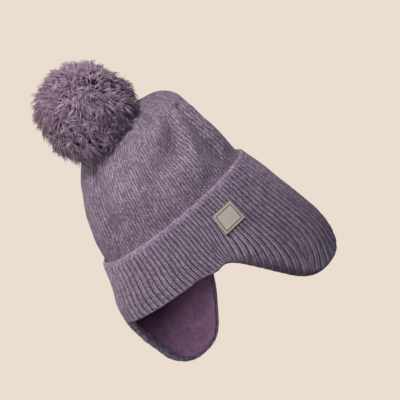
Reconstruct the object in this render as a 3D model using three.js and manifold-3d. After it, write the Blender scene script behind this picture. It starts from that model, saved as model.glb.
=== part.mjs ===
// A baby hat: a knitted crown gathered at its top, a turned-up rib cuff with two ear flaps,
// a fleece lining, a yarn pompom and a small sewn label.
// Millimetres, +Z up. The wearer's front faces -Y and the ear flaps lie at +X and -X.
// Every layer is an offset of one shared form: the wall (cuff and flaps) and the dome above it.
import * as THREE from 'three';
import { mergeVertices } from 'three/addons/utils/BufferGeometryUtils.js';
import Module from 'manifold-3d';

// Driving dimensions
const seatHeight = 93.4; // from the cuff's fold up to the inside of the top, where the head sits
const frontTurn = 32; // degrees from the flattened hat's long axis to the line through both ears
const columns = 56; // round the hat, the same for all layers so that their facets stay parallel
const arcEven = 0.1175; // makes the columns evenly spaced round an oval of these proportions
const cuffThickness = 3.4;
const crownThickness = 2.6;
const liningThickness = 2.0;
const layerGap = 0.5;
const foldHeight = 3.0; // the rounded top of the cuff stands this far above the fold line
const rimHeight = -53.6; // the hem between the flaps, below the fold line
const rimFarSag = 5.0; // the back of the hem hangs lower
const hemLip = 4.0; // width of the cuff's hem turned round the edge of the lining
const liningStepTop = -49.9; // below this the lining moves out against the flaps
const liningStepBottom = -63.0;
const pompomCentre = new THREE.Vector3(-7.0, 0, 120.5);
const pompomRadius = 46;
const pompomLump = 1.6;
const seatClearance = 0.5; // between the pompom and the crown that it is tied on
const label = { turn: 0.325, height: -25.8, width: 23.5, length: 20, thickness: 0.9, gap: 0.5 };

// The wall's sections, measured on the outside of the cuff, from the fold down to the flap tips.
const wallColumns = ['height', 'left', 'right', 'depth'];
const wallTable = [
  [3, 81.7, 79.7, 59.0],
  [0, 83.1, 80.5, 59.3],
  [-20, 89.8, 85.6, 60.0],
  [-38, 97.5, 89.4, 60.5],
  [-56, 100.4, 93.6, 61.0],
  [-75, 101.5, 97.2, 61.5],
  [-95, 103.2, 99.3, 60.5],
  [-115, 105.5, 101.5, 58.0],
  [-140, 105.0, 104.0, 54.0],
];

// The dome's rings, on the outside of the crown, from the fold up to the gather. Each ring has its
// own height at the left, right and face, because the top is pulled up on the right.
const domeColumns = ['left', 'leftHeight', 'right', 'rightHeight', 'depth', 'depthHeight'];
const domeTable = [
  [77.6, 3, 75.6, 3, 54.9, 3],
  [75.6, 16, 74.6, 17, 57.5, 17],
  [70.8, 30, 73.9, 31, 58.0, 31],
  [65.8, 43.5, 72.0, 44.5, 56.5, 45],
  [58.7, 57.5, 69.8, 58, 52.5, 58.5],
  [50.1, 72, 67.7, 71, 45.5, 71],
  [37.5, 87.5, 65.2, 80, 35.0, 82],
  [24.0, 95.5, 56.0, 89.5, 22.0, 90.5],
  [12.0, 98.5, 37.0, 94, 10.0, 96],
  [1.0, 99.5, 9.0, 97.5, 3.5, 98.5],
];
const gatherCentre = { x: 4, height: 98.8 };

// Ear flaps: where each one's middle lies round the hat (0 to 1), its half width and its drop.
const flaps = [
  { middle: 0.405, half: 0.153, drop: 68.5 },
  { middle: 0.873, half: 0.156, drop: 77.5 },
];
const flapRoundness = 1.3;

// Folds and dents of the soft crown, from one (turn, ring) place to another. A positive depth
// sinks in and a negative one stands out.
const foldColumns = ['fromTurn', 'fromRing', 'toTurn', 'toRing', 'depth', 'width'];
const foldTable = [
  [0.398, 4.6, 0.415, 2.6, 5.0, 6.5],
  [0.415, 2.6, 0.425, 0.3, 4.5, 6.5],
  [0.365, 6.2, 0.42, 4.1, 3.0, 5.0],
  [0.42, 4.1, 0.455, 1.8, 2.6, 5.0],
  [0.425, 5.4, 0.46, 3.4, 2.0, 5.0],
  [0.372, 5.0, 0.392, 1.2, -4.2, 9.0],
  [0.34, 4.6, 0.325, 2.7, 3.2, 11.0],
  [0.33, 3.5, 0.25, 3.1, 2.2, 10.0],
  [0.348, 2.7, 0.34, 0.9, -2.0, 9.0],
  [0.092, 5.4, 0.13, 2.4, -2.6, 8.0],
  [0.085, 4.9, 0.108, 2.0, 2.4, 7.0],
  [0.32, 6.9, 0.325, 6.0, 3.0, 8.0],
  [0.62, 4.5, 0.6, 1.5, 3.0, 12.0],
  [0.8, 4.8, 0.83, 1.8, 2.6, 12.0],
];
const foldTurnLength = 430; // mm round the crown, to measure distances across a fold
const foldRingLength = 14; // mm from one ring to the next

const named = (names, rows) => rows.map((row) =>
  Object.fromEntries(names.map((name, index) => [name, row[index]])));
const wallRows = named(wallColumns, wallTable).reverse();
const domeRings = named(domeColumns, domeTable);
const crownFolds = named(foldColumns, foldTable);

// Smooth reading of one column of a table at a place between its rows.
function readTable(places, values, at) {
  const last = places.length - 1;
  const place = Math.min(Math.max(at, places[0]), places[last]);
  let row = 0;
  while (row < last - 1 && places[row + 1] < place) row += 1;
  const slope = (index) => {
    const low = Math.max(index - 1, 0);
    const high = Math.min(index + 1, last);
    return (values[high] - values[low]) / (places[high] - places[low]);
  };
  const span = places[row + 1] - places[row];
  const t = (place - places[row]) / span;
  const fromStart = (1 + 2 * t) * (1 - t) ** 2 * values[row] + t * (1 - t) ** 2 * span * slope(row);
  const toEnd = t * t * (3 - 2 * t) * values[row + 1] - t * t * (1 - t) * span * slope(row + 1);
  return fromStart + toEnd;
}

const smoothStep = (low, high, value) => THREE.MathUtils.smoothstep(value, low, high);

function ovalAngle(turn) {
  const even = turn * 2 * Math.PI;
  return even + arcEven * Math.sin(2 * even) + arcEven ** 2 * Math.sin(4 * even);
}

// A point of an oval whose left and right halves differ, moved in by inset.
function ovalPoint(turn, size, heightOf, inset = 0) {
  const angle = ovalAngle(turn);
  const middle = (size.right - size.left) / 2;
  const half = (size.right + size.left) / 2 - inset;
  const x = middle - half * Math.cos(angle);
  const y = -(size.depth - inset) * Math.sin(angle);
  return new THREE.Vector3(x, y, heightOf(Math.cos(angle), Math.sin(angle)));
}

const wallHeights = wallRows.map((row) => row.height);
function wallPoint(turn, height, inset) {
  const size = Object.fromEntries(wallColumns.slice(1).map((name) =>
    [name, readTable(wallHeights, wallRows.map((row) => row[name]), height)]));
  return ovalPoint(turn, size, () => height, inset);
}

const ringNumbers = domeRings.map((ring, index) => index);
function plainDomePoint(turn, ring) {
  const size = Object.fromEntries(domeColumns.map((name) =>
    [name, readTable(ringNumbers, domeRings.map((row) => row[name]), ring)]));
  return ovalPoint(turn, size, (cosine, sine) => {
    const sideHeight = cosine > 0 ? size.leftHeight : size.rightHeight;
    return sideHeight * cosine ** 2 + size.depthHeight * sine ** 2;
  });
}

// How far the crown sinks at a place, from every fold in the table.
function foldDepth(turn, ring) {
  const here = new THREE.Vector2(turn * foldTurnLength, ring * foldRingLength);
  let depth = 0;
  for (const fold of crownFolds) {
    const from = new THREE.Vector2(fold.fromTurn * foldTurnLength, fold.fromRing * foldRingLength);
    const to = new THREE.Vector2(fold.toTurn * foldTurnLength, fold.toRing * foldRingLength);
    const along = to.clone().sub(from);
    const share = here.clone().sub(from).dot(along) / along.lengthSq();
    const nearest = from.addScaledVector(along, THREE.MathUtils.clamp(share, 0, 1));
    depth += fold.depth * Math.exp(-((here.distanceTo(nearest) / fold.width) ** 2));
  }
  const quietAtCuff = smoothStep(0.2, 1.4, ring);
  const quietAtGather = 1 - smoothStep(6.5, 8.5, ring);
  return depth * quietAtCuff * quietAtGather;
}

function outward(turn, ring) {
  const turnStep = 0.004;
  const ringStep = 0.15;
  const last = domeTable.length - 1;
  const acrossTurn = plainDomePoint(turn + turnStep, ring).sub(plainDomePoint(turn - turnStep, ring));
  const up = plainDomePoint(turn, Math.min(ring + ringStep, last));
  const acrossRing = up.sub(plainDomePoint(turn, Math.max(ring - ringStep, 0)));
  return acrossTurn.cross(acrossRing).normalize();
}

// Folds and layers both move along the smooth dome's normal, so the layers never meet.
function domePoint(turn, ring, inset) {
  return plainDomePoint(turn, ring).addScaledVector(outward(turn, ring), -foldDepth(turn, ring) - inset);
}

// Height of the hat's lower outline at a place round it.
function edgeHeight(turn) {
  let height = rimHeight - rimFarSag * Math.max(-Math.sin(ovalAngle(turn)), 0);
  for (const flap of flaps) {
    const away = Math.abs(THREE.MathUtils.euclideanModulo(turn - flap.middle + 0.5, 1) - 0.5);
    const share = Math.min(away / flap.half, 1);
    height -= flap.drop * 0.5 * (1 + Math.cos(Math.PI * share ** flapRoundness));
  }
  return height;
}

// The turned hem keeps its width across the outline, so it reaches higher where that is steep.
const wallLength = 485; // mm round the wall at the rim
const steepestRise = 2.6;
function alongEdge(turn, width) {
  const step = 0.004;
  const rise = edgeHeight(turn + step) - edgeHeight(turn - step);
  const slope = rise / (2 * step * wallLength);
  return width * Math.min(Math.sqrt(1 + slope * slope), steepestRise);
}

// How deep the lining's outside lies below the wall: behind the crown above, on the cuff below.
function liningInset(height) {
  const onFlap = cuffThickness + layerGap;
  const behindCrown = onFlap + crownThickness + layerGap;
  return THREE.MathUtils.lerp(onFlap, behindCrown, smoothStep(liningStepBottom, liningStepTop, height));
}

// Closed bodies from grids of points: rings[row][column].
function closedBody(points, triangles) {
  const geometry = new THREE.BufferGeometry().setFromPoints(points);
  geometry.setIndex(triangles);
  geometry.computeVertexNormals();
  return geometry;
}

// Both sides of a layer split their four-sided facets along the same diagonal, so that layers
// lying on each other keep their gap: rows that run down take the other one.
function joinRings(triangles, rings, row) {
  const nextRow = (row + 1) % rings.length;
  const from = row * columns;
  const to = nextRow * columns;
  const runsDown = rings[row][0].z > rings[nextRow][0].z;
  for (let column = 0; column < columns; column += 1) {
    const next = (column + 1) % columns;
    const corners = [from + column, from + next, to + next, to + column];
    const [a, b, c, d] = runsDown ? [...corners.slice(1), corners[0]] : corners;
    triangles.push(a, b, c, a, c, d);
  }
}

// A ring body: the section's loop of places is repeated in each column and closes on itself.
function ringBody(rings) {
  const triangles = [];
  rings.forEach((ring, row) => joinRings(triangles, rings, row));
  return closedBody(rings.flat(), triangles);
}

// A bowl: from its inner top down inside, round its lower edge and up outside to its outer top.
function bowlBody(rings, innerTop, outerTop) {
  const triangles = [];
  for (let row = 0; row + 1 < rings.length; row += 1) joinRings(triangles, rings, row);
  const innerIndex = rings.length * columns;
  const lastRing = (rings.length - 1) * columns;
  for (let column = 0; column < columns; column += 1) {
    const next = (column + 1) % columns;
    triangles.push(innerIndex, next, column);
    triangles.push(innerIndex + 1, lastRing + column, lastRing + next);
  }
  return closedBody([...rings.flat(), innerTop, outerTop], triangles);
}

const ringOf = (pointAt) => Array.from({ length: columns }, (unused, index) => pointAt(index / columns));
const gatherPoint = (drop) => new THREE.Vector3(gatherCentre.x, 0, gatherCentre.height - drop);

// Wall heights shared by all layers above the rim, from low to high.
const sharedHeights = [-42, -30, -18, -6];
const flapShares = [0.3, 0.65];

// Heights below the shared ones, from the given bottom up: a short first step, then the knee.
function lowHeights(turn, bottom) {
  const knee = Math.max(liningStepTop, bottom + 2.4);
  return [bottom, ...flapShares.map((share) => bottom + share * (knee - bottom)), knee];
}

function cuffGeometry() {
  const lipTop = (turn) => edgeHeight(turn) + alongEdge(turn, hemLip);
  const hemDepth = (turn) => {
    return liningInset(edgeHeight(turn) + hemLip) + liningThickness;
  };
  const inside = (share) => (turn) => {
    const low = lowHeights(turn, lipTop(turn));
    return wallPoint(turn, low[share], cuffThickness);
  };
  const outside = (share) => (turn) => {
    const bottom = edgeHeight(turn) + 2.2;
    const low = lowHeights(turn, bottom);
    return wallPoint(turn, low[share], 0);
  };
  const rings = [];
  const add = (pointAt) => rings.push(ringOf(pointAt));
  // Round top of the fold, outside to inside.
  add((turn) => wallPoint(turn, 1.2, 0));
  add((turn) => wallPoint(turn, 2.7, 0.7));
  add((turn) => wallPoint(turn, foldHeight, cuffThickness / 2));
  add((turn) => wallPoint(turn, 2.7, cuffThickness - 0.7));
  add((turn) => wallPoint(turn, 0.8, cuffThickness));
  [...sharedHeights].reverse().forEach((height) => add((turn) => wallPoint(turn, height, cuffThickness)));
  [3, 2, 1, 0].forEach((share) => add(inside(share)));
  // The turned hem.
  add((turn) => wallPoint(turn, lipTop(turn), hemDepth(turn)));
  add((turn) => wallPoint(turn, edgeHeight(turn) + 0.9, hemDepth(turn)));
  add((turn) => wallPoint(turn, edgeHeight(turn), hemDepth(turn) - 1.2));
  add((turn) => wallPoint(turn, edgeHeight(turn), 1.2));
  add((turn) => wallPoint(turn, edgeHeight(turn) + 0.7, 0.3));
  [0, 1, 2, 3].forEach((share) => add(outside(share)));
  sharedHeights.forEach((height) => add((turn) => wallPoint(turn, height, 0)));
  return ringBody(rings);
}

function crownGeometry() {
  const outerInset = cuffThickness + layerGap;
  const innerInset = outerInset + crownThickness;
  const bottom = rimHeight + hemLip + layerGap;
  const ringNumbersUp = [0, 1.5, 3, 4, 5, 6, 7, 8, 9];
  const rings = [];
  const add = (pointAt) => rings.push(ringOf(pointAt));
  [...ringNumbersUp].reverse().forEach((ring) => add((turn) => domePoint(turn, ring, crownThickness)));
  [...sharedHeights].reverse().forEach((height) => add((turn) => wallPoint(turn, height, innerInset)));
  add((turn) => wallPoint(turn, bottom, innerInset));
  add((turn) => wallPoint(turn, bottom, outerInset));
  sharedHeights.forEach((height) => add((turn) => wallPoint(turn, height, outerInset)));
  ringNumbersUp.forEach((ring) => add((turn) => domePoint(turn, ring, 0)));
  return bowlBody(rings, gatherPoint(crownThickness), gatherPoint(0));
}

function liningGeometry() {
  const outerInset = crownThickness + layerGap;
  const ringNumbersUp = [0, 1.5, 3, 4, 5, 6, 7, 8, 9];
  const lowest = (turn) => edgeHeight(turn) + alongEdge(turn, hemLip + layerGap);
  const rings = [];
  const add = (pointAt) => rings.push(ringOf(pointAt));
  const wall = (height, inner) => (turn) =>
    wallPoint(turn, height, liningInset(height) + (inner ? liningThickness : 0));
  const low = (share, inner) => (turn) => wall(lowHeights(turn, lowest(turn))[share], inner)(turn);
  const innerInset = outerInset + liningThickness;
  [...ringNumbersUp].reverse().forEach((ring) => add((turn) => domePoint(turn, ring, innerInset)));
  [...sharedHeights].reverse().forEach((height) => add(wall(height, true)));
  [3, 2, 1, 0].forEach((share) => add(low(share, true)));
  [0, 1, 2, 3].forEach((share) => add(low(share, false)));
  sharedHeights.forEach((height) => add(wall(height, false)));
  ringNumbersUp.forEach((ring) => add((turn) => domePoint(turn, ring, outerInset)));
  return bowlBody(rings, gatherPoint(innerInset), gatherPoint(outerInset));
}

// The label lies on the cuff's wall as a thin curved plate.
function labelGeometry() {
  const across = 6;
  const along = 4;
  const turnWidth = label.width / wallLength;
  const side = (lift) => {
    const points = [];
    for (let row = 0; row <= along; row += 1) {
      for (let column = 0; column <= across; column += 1) {
        const turn = label.turn + (column / across - 0.5) * turnWidth;
        const height = label.height + (row / along - 0.5) * label.length;
        points.push(wallPoint(turn, height, -lift));
      }
    }
    return points;
  };
  const points = [...side(label.gap), ...side(label.gap + label.thickness)];
  const width = across + 1;
  const layer = width * (along + 1);
  const triangles = [];
  for (let row = 0; row < along; row += 1) {
    for (let column = 0; column < across; column += 1) {
      const a = row * width + column;
      const b = a + 1;
      const c = a + width + 1;
      const d = a + width;
      triangles.push(a, c, b, a, d, c);
      triangles.push(layer + a, layer + b, layer + c, layer + a, layer + c, layer + d);
    }
  }
  const rim = [];
  for (let column = 0; column < across; column += 1) rim.push(column);
  for (let row = 0; row < along; row += 1) rim.push(row * width + across);
  for (let column = across; column > 0; column -= 1) rim.push(along * width + column);
  for (let row = along; row > 0; row -= 1) rim.push(row * width);
  rim.forEach((start, index) => {
    const end = rim[(index + 1) % rim.length];
    triangles.push(start, end, layer + end, start, layer + end, layer + start);
  });
  return closedBody(points, triangles);
}

// The pompom's outer form: a ball with soft lumps, hollowed below where the crown's top sits in it.
const wasm = await Module();
wasm.setup();

function toSolid(geometry) {
  const bare = geometry.clone();
  bare.deleteAttribute('normal');
  bare.deleteAttribute('uv');
  const merged = mergeVertices(bare, 1e-4);
  const vertProperties = new Float32Array(merged.getAttribute('position').array);
  const triVerts = new Uint32Array(merged.getIndex().array);
  return new wasm.Manifold(new wasm.Mesh({ numProp: 3, vertProperties, triVerts }));
}

function fromSolid(solid) {
  const mesh = solid.getMesh();
  const geometry = new THREE.BufferGeometry();
  geometry.setAttribute('position', new THREE.BufferAttribute(mesh.vertProperties, 3));
  geometry.setIndex(new THREE.BufferAttribute(mesh.triVerts, 1));
  geometry.computeVertexNormals();
  return geometry;
}

function pompomGeometry() {
  const ball = new THREE.SphereGeometry(pompomRadius, 24, 14);
  const position = ball.getAttribute('position');
  const point = new THREE.Vector3();
  for (let index = 0; index < position.count; index += 1) {
    point.fromBufferAttribute(position, index);
    const way = point.clone().normalize();
    const wave = Math.sin(4.1 * way.x + 1.3) * Math.sin(3.7 * way.y + 0.4) + Math.sin(5.3 * way.z + 2.1) * 0.6;
    point.addScaledVector(way, pompomLump * wave);
    position.setXYZ(index, point.x, point.y, point.z);
  }
  ball.translate(pompomCentre.x, pompomCentre.y, pompomCentre.z);
  const seatRings = [3, 4, 5, 6, 7, 8, 9].map((ring) => ringOf((turn) => domePoint(turn, ring, -seatClearance)));
  const seatBottom = new THREE.Vector3(gatherCentre.x, 0, domeRings[3].depthHeight);
  const seat = bowlBody(seatRings, seatBottom, gatherPoint(-seatClearance));
  return fromSolid(toSolid(ball).subtract(toSolid(seat)));
}

const knit = new THREE.MeshStandardMaterial({ color: 0x8b7789, roughness: 0.95, metalness: 0 });
const ribKnit = new THREE.MeshStandardMaterial({ color: 0x7c6a7d, roughness: 0.95, metalness: 0 });
const fleece = new THREE.MeshStandardMaterial({ color: 0x66496a, roughness: 1, metalness: 0 });
const yarn = new THREE.MeshStandardMaterial({ color: 0x806c82, roughness: 1, metalness: 0 });
const wovenLabel = new THREE.MeshStandardMaterial({ color: 0xc9c3b1, roughness: 0.8, metalness: 0 });

function piece(name, geometry, material) {
  const mesh = new THREE.Mesh(geometry, material);
  mesh.name = name;
  return mesh;
}

// The pieces stand on the fold line of the cuff; the group moves the seat of the head to the origin.
const onFoldLine = new THREE.Group();
onFoldLine.add(piece('crown', crownGeometry(), knit));
onFoldLine.add(piece('cuff', cuffGeometry(), ribKnit));
onFoldLine.add(piece('lining', liningGeometry(), fleece));
onFoldLine.add(piece('pompom', pompomGeometry(), yarn));
onFoldLine.add(piece('label', labelGeometry(), wovenLabel));
onFoldLine.position.z = -seatHeight;

const hat = new THREE.Group();
hat.add(onFoldLine);
hat.rotation.z = THREE.MathUtils.degToRad(frontTurn);

export default hat;
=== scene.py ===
import math
from functools import partial
import bpy
import numpy as np
from mathutils import Matrix


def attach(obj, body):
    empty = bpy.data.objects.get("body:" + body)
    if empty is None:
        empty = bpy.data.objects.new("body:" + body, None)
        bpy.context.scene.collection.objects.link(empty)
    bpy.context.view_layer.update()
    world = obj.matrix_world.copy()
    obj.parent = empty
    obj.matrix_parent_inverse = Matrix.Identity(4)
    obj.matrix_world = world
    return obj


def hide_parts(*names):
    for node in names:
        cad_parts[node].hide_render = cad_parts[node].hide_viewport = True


# A knitted baby hat: gathered crown, turned-up rib cuff with two ear flaps, fleece lining, yarn
# pompom and a small woven label. Shapes are worked out in millimetres in the flattened hat's own
# axes (x along its width, y away from the camera, z up from the cuff's fold), then turned and
# moved into the row's frame in metres.

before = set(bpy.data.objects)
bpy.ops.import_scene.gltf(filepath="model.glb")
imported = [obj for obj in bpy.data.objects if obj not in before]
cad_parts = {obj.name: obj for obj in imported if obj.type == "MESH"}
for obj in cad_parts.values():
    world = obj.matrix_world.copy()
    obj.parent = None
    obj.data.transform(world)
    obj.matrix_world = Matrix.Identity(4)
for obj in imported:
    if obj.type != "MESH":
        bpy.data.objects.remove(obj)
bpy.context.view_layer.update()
print("frame loaded")

seatHeight = 93.4  # fold line up to the inside of the top, where the head sits
frontTurn = 32.0  # degrees between the flattened hat's width and the row's X
wallLength = 485.0  # round the wall at the rim


def toFrame(points):
    turn = math.radians(frontTurn)
    x, y, z = points[..., 0], points[..., 1], points[..., 2]
    across = x * math.cos(turn) - y * math.sin(turn)
    away = x * math.sin(turn) + y * math.cos(turn)
    return np.stack([across, away, z - seatHeight], -1) / 1000.0


def addAt(name, data, place, axes):
    # A camera or lamp at a place, turned so that its right, up and back are the given axes.
    thing = bpy.data.objects.new(name, data)
    bpy.context.scene.collection.objects.link(thing)
    matrix = np.eye(4)
    matrix[:3, :3] = np.transpose(axes)
    matrix[:3, 3] = place
    thing.matrix_world = Matrix(matrix.tolist())
    return thing


# Camera, at the photograph's angle and roll.
camera = {
    "target": (21.98, -1.96, -9.23),
    "distance": 1400.0,
    "elevation": 12.0,
    "right": (0.77, -0.638),
    "sensor": 36.0,
    "lens": 140.0,
}


def addCamera(spec):
    rise = math.radians(spec["elevation"])
    forward = np.array([0.0, math.cos(rise), -math.sin(rise)])
    level = np.array([1.0, 0.0, 0.0])
    upright = np.array([0.0, math.sin(rise), math.cos(rise)])
    along, down = np.array(spec["right"]) / np.hypot(*spec["right"])
    right = along * level + down * upright
    up = -down * level + along * upright
    place = np.array(spec["target"]) - spec["distance"] * forward
    origin = toFrame(np.zeros(3))
    axes = [(toFrame(axis) - origin) * 1000.0 for axis in (right, up, -forward)]
    data = bpy.data.cameras.new("camera")
    data.sensor_width = spec["sensor"]
    data.lens = spec["lens"]
    data.clip_end = 100.0
    bpy.context.scene.camera = addAt("camera", data, toFrame(place), axes)


addCamera(camera)
print("camera placed")

# The hat's form

wallRows = np.array([
    # height, left, right, depth
    [3, 81.7, 79.7, 59.0],
    [0, 83.1, 80.5, 59.3],
    [-20, 89.8, 85.6, 60.0],
    [-38, 97.5, 89.4, 60.5],
    [-56, 100.4, 93.6, 61.0],
    [-75, 101.5, 97.2, 61.5],
    [-95, 102.45, 100.05, 60.5],
    [-115, 106.25, 101.5, 58.0],
    [-140, 105.1, 102.5, 54.0],
])[::-1]

domeRows = np.array([
    # left, leftHeight, right, rightHeight, depth, depthHeight
    [77.6, 3, 75.6, 3, 54.9, 3],
    [75.6, 16, 74.6, 17, 57.5, 17],
    [70.8, 30, 73.9, 31, 58.0, 31],
    [65.8, 43.5, 72.0, 44.5, 56.5, 45],
    [58.7, 57.5, 69.8, 58, 52.5, 58.5],
    [50.1, 72, 67.7, 71, 45.5, 71],
    [37.5, 87.5, 65.2, 80, 35.0, 82],
    [24.0, 95.5, 56.0, 89.5, 22.0, 90.5],
    [12.0, 98.5, 37.0, 94, 10.0, 96],
    [1.0, 99.5, 9.0, 97.5, 3.5, 98.5],
])
lastRing = len(domeRows) - 1.0

foldRows = np.array([
    # fromTurn, fromRing, toTurn, toRing, depth, width
    [0.436, 5.0, 0.424, 3.05, 4.0, 4.8],
    [0.424, 3.05, 0.412, 0.7, 4.0, 5.2],
    [0.364, 4.3, 0.336, 3.5, 4.8, 8.5],
    [0.336, 3.5, 0.285, 3.3, 4.2, 11.0],
    [0.285, 3.3, 0.246, 3.0, 3.0, 11.0],
    [0.403, 4.5, 0.377, 2.8, -3.8, 7.5],
    [0.377, 2.8, 0.345, 0.6, -3.6, 9.0],
    [0.345, 5.4, 0.312, 4.6, -2.4, 6.0],
    [0.466, 4.2, 0.446, 0.6, -2.8, 6.0],
    [0.082, 6.4, 0.104, 4.2, 2.6, 5.0],
    [0.104, 4.2, 0.100, 1.5, 2.4, 5.5],
    [0.140, 5.8, 0.142, 2.5, -1.8, 9.0],
    [0.068, 4.8, 0.068, 2.0, -1.4, 7.0],
    [0.32, 6.9, 0.325, 6.0, 3.0, 8.0],
    [0.62, 4.5, 0.6, 1.5, 3.0, 12.0],
    [0.8, 4.8, 0.83, 1.8, 2.6, 12.0],
])
foldTurnLength = 430.0  # mm for a whole turn on the crown
foldRingLength = 14.0  # mm from one ring to the next

rimHeight = -52.8
rimFarSag = 5.0
flapRows = (
    # front says which way round the flap's front edge lies
    {"middle": 0.405, "half": 0.153, "drop": 69.5, "front": -1},
    {"middle": 0.877, "half": 0.156, "drop": 77.5, "front": 1},
)
flapRoundness = 1.3
rimCorner = {"turn": 0.246, "width": 0.021, "drop": 3.9}  # the hem sags where the flap begins
arcEven = 0.1175  # spaces the columns evenly round an oval of these proportions
gather = np.array([4.0, 0.0, 98.8])


def smoothStep(low, high, value):
    share = np.clip((value - low) / (high - low), 0.0, 1.0)
    return share * share * (3.0 - 2.0 * share)


def bell(distance, width, power=2):
    return np.exp(-(distance / width) ** power)


def turnsPast(turn, middle):
    # How far round from a place, the shorter way.
    return (turn - middle + 0.5) % 1.0 - 0.5


def readTable(places, values, at):
    # Smooth reading between a table's rows.
    slopes = np.empty_like(values)
    slopes[1:-1] = (values[2:] - values[:-2]) / (places[2:] - places[:-2])
    slopes[0] = (values[1] - values[0]) / (places[1] - places[0])
    slopes[-1] = (values[-1] - values[-2]) / (places[-1] - places[-2])
    at = np.clip(at, places[0], places[-1])
    row = np.clip(np.searchsorted(places, at) - 1, 0, len(places) - 2)
    span = places[row + 1] - places[row]
    t = (at - places[row]) / span
    fromStart = (1 + 2 * t) * (1 - t) ** 2 * values[row] + t * (1 - t) ** 2 * span * slopes[row]
    toEnd = t * t * (3 - 2 * t) * values[row + 1] - t * t * (1 - t) * span * slopes[row + 1]
    return fromStart + toEnd


def ovalAngle(turn):
    even = turn * 2 * math.pi
    return even + arcEven * np.sin(2 * even) + arcEven ** 2 * np.sin(4 * even)


def wallPoint(turn, height, inset=0.0):
    turn, height, inset = np.broadcast_arrays(turn, height, np.asarray(inset, float))
    left, right, depth = (readTable(wallRows[:, 0], wallRows[:, column], height) for column in (1, 2, 3))
    angle = ovalAngle(turn)
    x = (right - left) / 2 - ((right + left) / 2 - inset) * np.cos(angle)
    return np.stack([x, -(depth - inset) * np.sin(angle), height + 0.0 * x], -1)


def plainDomePoint(turn, ring):
    turn, ring = np.broadcast_arrays(turn, np.asarray(ring, float))
    numbers = np.arange(float(len(domeRows)))
    left, leftHeight, right, rightHeight, depth, depthHeight = (
        readTable(numbers, domeRows[:, column], ring) for column in range(6))
    angle = ovalAngle(turn)
    cosine, sine = np.cos(angle), np.sin(angle)
    sideHeight = np.where(cosine > 0, leftHeight, rightHeight)
    x = (right - left) / 2 - (right + left) / 2 * cosine
    return np.stack([x, -depth * sine, sideHeight * cosine ** 2 + depthHeight * sine ** 2], -1)


def foldDepth(turn, ring):
    # Folds that meet or cross join softly and do not add up to a pit.
    sunk, raised = 0.0, 0.0
    for fromTurn, fromRing, toTurn, toRing, amount, width in foldRows:
        alongTurn = (toTurn - fromTurn) * foldTurnLength
        alongRing = (toRing - fromRing) * foldRingLength
        hereTurn = (turn - fromTurn) * foldTurnLength
        hereRing = (ring - fromRing) * foldRingLength
        share = (hereTurn * alongTurn + hereRing * alongRing) / (alongTurn ** 2 + alongRing ** 2)
        share = np.clip(share, 0.0, 1.0)
        away = np.hypot(hereTurn - share * alongTurn, hereRing - share * alongRing)
        here = amount * bell(away, width)
        sunk = sunk + np.maximum(here, 0) ** 4
        raised = raised + np.maximum(-here, 0) ** 4
    depth = sunk ** 0.25 - raised ** 0.25
    return depth * smoothStep(0.2, 1.4, ring) * (1 - smoothStep(6.5, 8.5, ring))


def domePoint(turn, ring, inset=0.0):
    turn, ring = np.broadcast_arrays(turn, np.asarray(ring, float))
    turnStep, ringStep = 0.004, 0.15
    acrossTurn = plainDomePoint(turn + turnStep, ring) - plainDomePoint(turn - turnStep, ring)
    above = plainDomePoint(turn, np.minimum(ring + ringStep, lastRing))
    below = plainDomePoint(turn, np.maximum(ring - ringStep, 0))
    outward = np.cross(acrossTurn, above - below)
    outward /= np.linalg.norm(outward, axis=-1, keepdims=True)
    sunk = foldDepth(turn % 1.0, ring) + inset
    return plainDomePoint(turn, ring) - outward * np.asarray(sunk)[..., None]


def edgeHeight(turn):
    height = rimHeight - rimFarSag * np.maximum(-np.sin(ovalAngle(turn)), 0)
    for flap in flapRows:
        away = np.abs(turnsPast(turn, flap["middle"]))
        share = np.minimum(away / flap["half"], 1.0)
        height = height - flap["drop"] * 0.5 * (1 + np.cos(math.pi * share ** flapRoundness))
    corner = turnsPast(turn, rimCorner["turn"])
    return height - rimCorner["drop"] * bell(corner, rimCorner["width"])


def alongEdge(turn, width):
    # A width square to the outline, as a height.
    step, steepest = 0.003, 2.6
    slope = (edgeHeight(turn + step) - edgeHeight(turn - step)) / (2 * step * wallLength)
    return width * np.minimum(np.sqrt(1 + slope ** 2), steepest)


def ripple(points, wavelength, seed):
    # Soft lumps: a few crossed waves, about -1 to 1.
    chance = np.random.default_rng(seed)
    total = 0.0
    waves = 7
    for wave in range(waves):
        heading = chance.normal(size=3)
        heading /= np.linalg.norm(heading)
        length = wavelength * chance.uniform(0.7, 1.5)
        total = total + np.sin(points @ heading * (2 * math.pi / length) + chance.uniform(0, 6.28))
    return total / math.sqrt(waves)


# Meshes

def meshObject(name, points, faces, uvMaps=None, normals=None):
    mesh = bpy.data.meshes.new(name)
    mesh.from_pydata(toFrame(points).tolist(), [], faces)
    for label, values in (uvMaps or {}).items():
        layer = mesh.uv_layers.new(name=label)
        layer.data.foreach_set("uv", np.asarray(values, float).ravel())
    mesh.polygons.foreach_set("use_smooth", [True] * len(mesh.polygons))
    mesh.update()
    if normals is not None:
        turned = (toFrame(normals) - toFrame(np.zeros(3))) * 1000.0
        mesh.normals_split_custom_set_from_vertices(turned.tolist())
    piece = bpy.data.objects.new(name, mesh)
    bpy.context.scene.collection.objects.link(piece)
    return piece


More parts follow.
